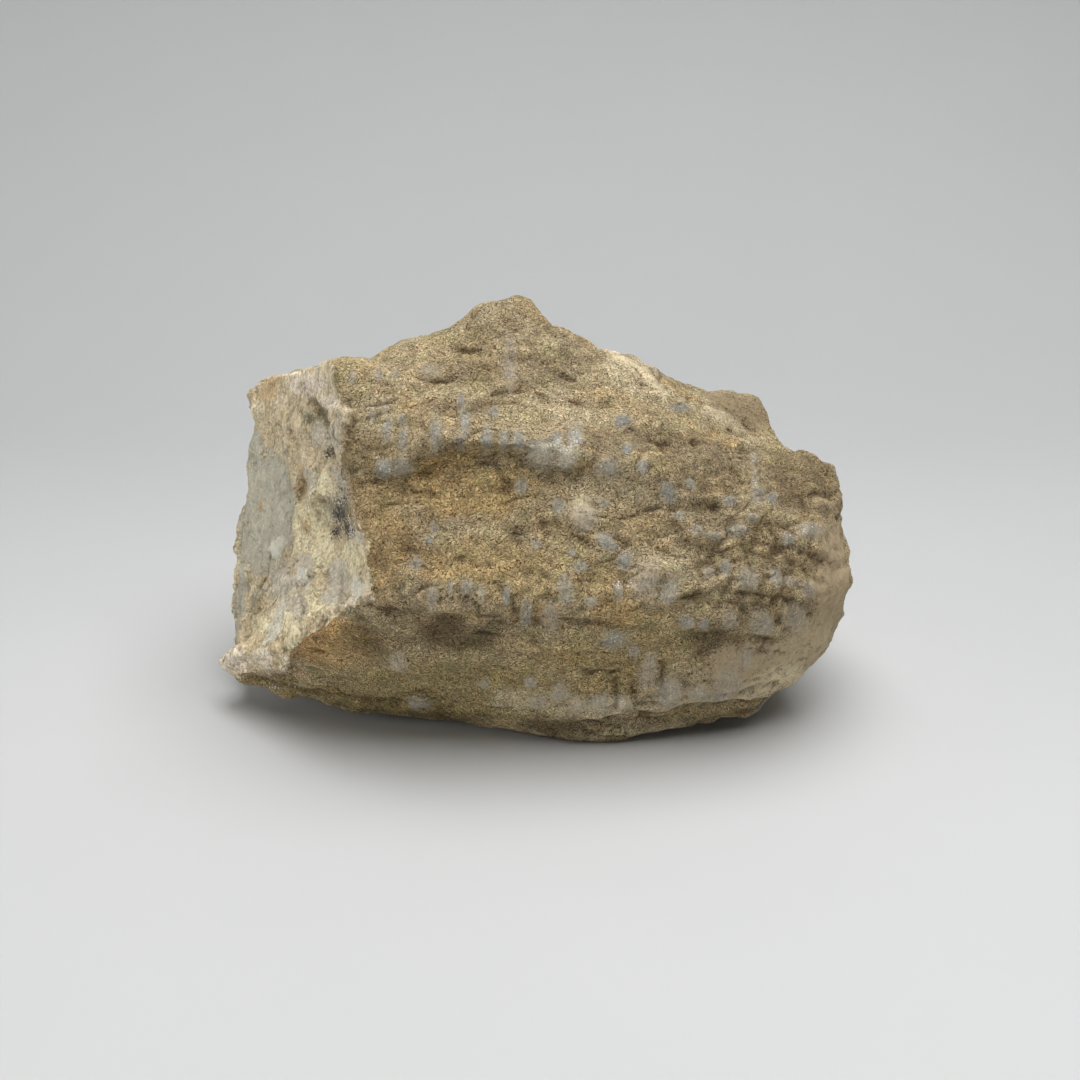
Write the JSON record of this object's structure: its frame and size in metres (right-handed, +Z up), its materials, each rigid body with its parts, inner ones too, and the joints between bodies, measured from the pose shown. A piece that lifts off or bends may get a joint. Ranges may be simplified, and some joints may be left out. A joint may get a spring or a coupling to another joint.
{
  "type": "silicified fossil coral",
  "caption": "Broken block of a coral colony turned to silica: grainy banded crust with chalcedony windows, one fresh fracture face and a flat rest face.",
  "frame": {"origin": "middle of the block's bounding box, on the level of the flat face it rests on", "axes": "+X along the block from its fracture to its rounded end, +Y from its banded front to its back, +Z up"},
  "size_m": [0.1282, 0.083, 0.0827],
  "materials": {
    "coral_stone": "rough, sandy silica crust with small glossy blue-grey windows"
  },
  "bodies": {
    "root": {"fossil_coral": "coral_stone"}
  },
  "joints": []
}
